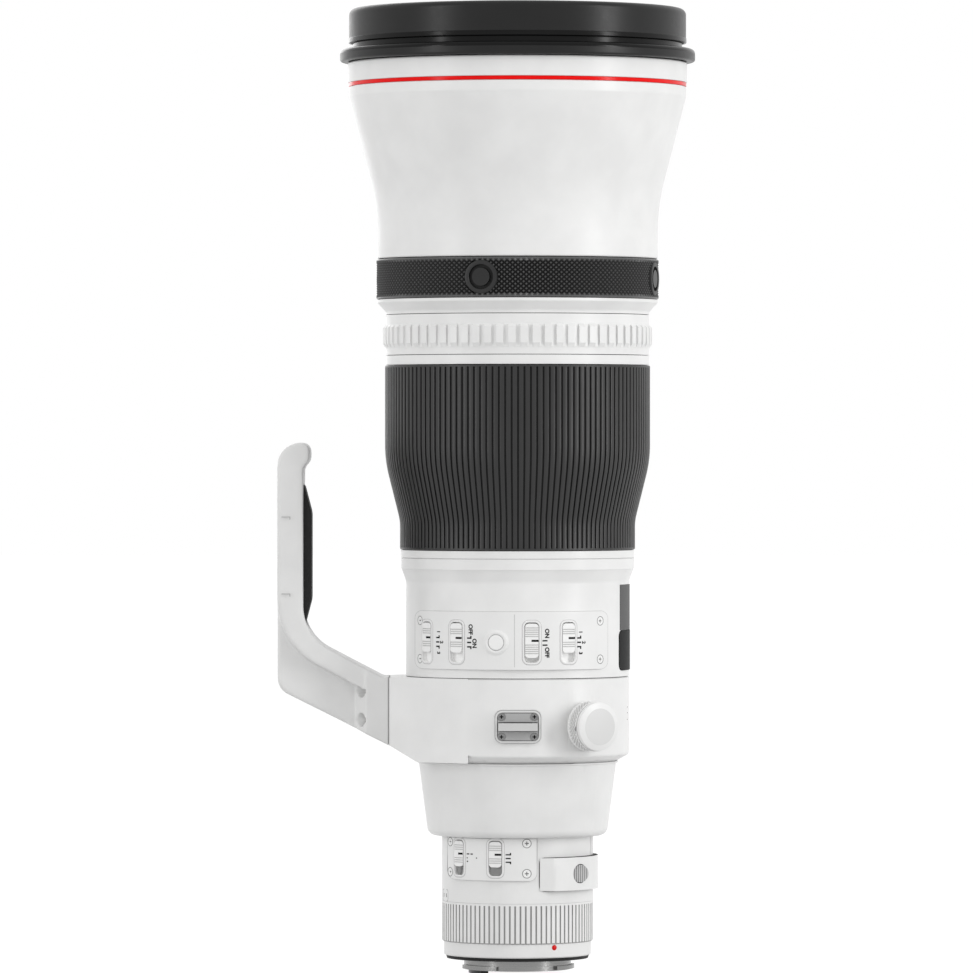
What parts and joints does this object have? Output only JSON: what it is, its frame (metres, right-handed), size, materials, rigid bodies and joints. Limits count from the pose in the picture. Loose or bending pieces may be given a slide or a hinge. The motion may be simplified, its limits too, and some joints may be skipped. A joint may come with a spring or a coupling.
{
  "type": "super telephoto lens",
  "caption": "Long white telephoto camera lens with a flared front, rubber focus ring, rotating tripod collar with carrying foot, switch panels and a drop-in filter drawer",
  "frame": {"origin": "centre of the camera mount's flange face, on the optical axis", "axes": "+Z along the optical axis to the front element, -X towards the tripod foot, -Y towards the side with the switches"},
  "size_m": [0.1976, 0.1682, 0.4566],
  "materials": {
    "white_paint": "fine speckled satin heat-shielding paint",
    "black_metal": "satin black",
    "grip_rubber": "matte",
    "soft_pad": "matte, fine grain",
    "red_line": "gloss",
    "inner_metal": "anodised, matte",
    "steel": "fine brushed",
    "brass": "turned",
    "glass": "polished, coated",
    "grey_plate": "matte",
    "window": "clear dark window",
    "black_plastic": "matte",
    "white_plastic": "satin",
    "grey_plastic": "satin",
    "board": "matte"
  },
  "bodies": {
    "lens_body": {"front_rim": "grip_rubber", "hood_flange": "black_metal", "front_barrel": "white_paint", "accent_ring": "red_line", "button_ring": "black_metal", "trim_rings": "white_paint", "mid_barrel": "white_paint", "main_tube": "inner_metal", "upper_switch_panel": "white_plastic", "panel_screws": "steel", "side_plate": "grey_plate", "scale_window": "window", "rear_cone": "white_paint", "rear_barrel": "white_paint", "lower_switch_panel": "white_plastic", "rear_grip_ring": "white_paint", "mount_seal": "grip_rubber", "bayonet": "steel", "bayonet_screws": "steel", "contact_block": "black_plastic", "front_element": "glass", "middle_elements": "glass", "guide_tube": "inner_metal", "motor_stator": "brass", "stabiliser_frame": "inner_metal", "diaphragm_housing": "black_metal", "rear_elements": "glass", "main_board": "board"},
    "focus_ring": {"focus_sleeve": "inner_metal", "focus_grip": "grip_rubber"},
    "control_ring": {"control_ring": "white_paint"},
    "collar": {"tripod_collar": "white_paint", "collar_bush": "brass", "tripod_foot": "white_paint", "foot_pad": "soft_pad", "foot_screws": "steel", "strap_lugs": "steel", "lug_screws": "steel"},
    "lock_knob": {"lock_knob": "white_paint"},
    "speed_switch": {"speed_switch": "white_plastic"},
    "preset_switch": {"preset_switch": "white_plastic"},
    "stabiliser_switch": {"stabiliser_switch": "white_plastic"},
    "mode_switch": {"mode_switch": "white_plastic"},
    "focus_mode_switch": {"focus_mode_switch": "white_plastic"},
    "range_switch": {"range_switch": "white_plastic"},
    "set_button": {"set_button": "white_plastic"},
    "function_button_1": {"function_button_1": "black_plastic"},
    "function_button_2": {"function_button_2": "black_plastic"},
    "function_button_3": {"function_button_3": "black_plastic"},
    "function_button_4": {"function_button_4": "black_plastic"},
    "filter_drawer": {"filter_holder": "white_paint", "filter_glass": "glass"},
    "latch_button_left": {"latch_button_left": "grey_plastic"},
    "latch_button_right": {"latch_button_right": "grey_plastic"},
    "cam": {"cam_ring": "inner_metal", "scale_drum": "black_metal"},
    "focus_group": {"focus_cell": "inner_metal"},
    "stabiliser_carrier": {"stabiliser_carrier": "black_metal"},
    "stabiliser_cell": {"stabiliser_cell": "inner_metal"},
    "diaphragm_ring": {"diaphragm_ring": "inner_metal"}
  },
  "joints": [
    {"name": "focus_turn", "type": "hinge", "parent": "lens_body", "child": "focus_ring", "pos_m": [0, 0, 0.236], "axis": [0, 0, 1], "continuous": true},
    {"name": "control_turn", "type": "hinge", "parent": "lens_body", "child": "control_ring", "pos_m": [0, 0, 0.2936], "axis": [0, 0, 1], "range_deg": [-20, 20], "stiffness_Nm_per_rad": 0.4},
    {"name": "collar_turn", "type": "hinge", "parent": "lens_body", "child": "collar", "pos_m": [0, 0, 0.1123], "axis": [0, 0, 1], "continuous": true},
    {"name": "knob_turn", "type": "hinge", "parent": "collar", "child": "lock_knob", "pos_m": [0.03484, -0.04885, 0.11], "axis": [0.5807, -0.8141, 0], "range_deg": [0, 360]},
    {"name": "speed_slide", "type": "slide", "parent": "lens_body", "child": "speed_switch", "axis": [0, 0, -1], "range_m": [0, 0.0041]},
    {"name": "preset_slide", "type": "slide", "parent": "lens_body", "child": "preset_switch", "axis": [0, 0, -1], "range_m": [0, 0.0041]},
    {"name": "stabiliser_slide", "type": "slide", "parent": "lens_body", "child": "stabiliser_switch", "axis": [0, 0, -1], "range_m": [0, 0.00205]},
    {"name": "mode_slide", "type": "slide", "parent": "lens_body", "child": "mode_switch", "axis": [0, 0, -1], "range_m": [0, 0.0041]},
    {"name": "focus_mode_slide", "type": "slide", "parent": "lens_body", "child": "focus_mode_switch", "axis": [0, 0, -1], "range_m": [0, 0.0032]},
    {"name": "range_slide", "type": "slide", "parent": "lens_body", "child": "range_switch", "axis": [0, 0, -1], "range_m": [0, 0.0032]},
    {"name": "set_press", "type": "slide", "parent": "lens_body", "child": "set_button", "axis": [0.1874, 0.9823, 0], "range_m": [0, 0.0006], "stiffness_N_per_m": 400},
    {"name": "function_press_1", "type": "slide", "parent": "lens_body", "child": "function_button_1", "axis": [0.2588, 0.9659, 0], "range_m": [0, 0.0005], "stiffness_N_per_m": 400},
    {"name": "function_press_2", "type": "slide", "parent": "lens_body", "child": "function_button_2", "axis": [-0.9659, 0.2588, 0], "range_m": [0, 0.0005], "stiffness_N_per_m": 400},
    {"name": "function_press_3", "type": "slide", "parent": "lens_body", "child": "function_button_3", "axis": [-0.2588, -0.9659, 0], "range_m": [0, 0.0005], "stiffness_N_per_m": 400},
    {"name": "function_press_4", "type": "slide", "parent": "lens_body", "child": "function_button_4", "axis": [0.9659, -0.2588, 0], "range_m": [0, 0.0005], "stiffness_N_per_m": 400},
    {"name": "drawer_pull", "type": "slide", "parent": "lens_body", "child": "filter_drawer", "axis": [1, 0, 0], "range_m": [0, 0.065]},
    {"name": "latch_press_left", "type": "slide", "parent": "filter_drawer", "child": "latch_button_left", "axis": [-0.4067, 0.9135, 0], "range_m": [0, 0.0005], "stiffness_N_per_m": 400},
    {"name": "latch_press_right", "type": "slide", "parent": "filter_drawer", "child": "latch_button_right", "axis": [-0.4067, -0.9135, 0], "range_m": [0, 0.0005], "stiffness_N_per_m": 400},
    {"name": "cam_turn", "type": "hinge", "parent": "lens_body", "child": "cam", "pos_m": [0, 0, 0.18], "axis": [0, 0, 1], "range_deg": [0, 100]},
    {"name": "focus_travel", "type": "slide", "parent": "lens_body", "child": "focus_group", "axis": [0, 0, -1], "range_m": [0, 0.024]},
    {"name": "stabiliser_shift_x", "type": "slide", "parent": "lens_body", "child": "stabiliser_carrier", "axis": [1, 0, 0], "range_m": [-0.0015, 0.0015], "stiffness_N_per_m": 150},
    {"name": "stabiliser_shift_y", "type": "slide", "parent": "stabiliser_carrier", "child": "stabiliser_cell", "axis": [0, 1, 0], "range_m": [-0.0015, 0.0015], "stiffness_N_per_m": 150},
    {"name": "diaphragm_turn", "type": "hinge", "parent": "lens_body", "child": "diaphragm_ring", "pos_m": [0, 0, 0.138], "axis": [0, 0, 1], "range_deg": [0, 30]}
  ],
  "couplings": [
    {"joint": "focus_travel", "follows": "cam_turn", "m_per_rad": 0.01375}
  ]
}
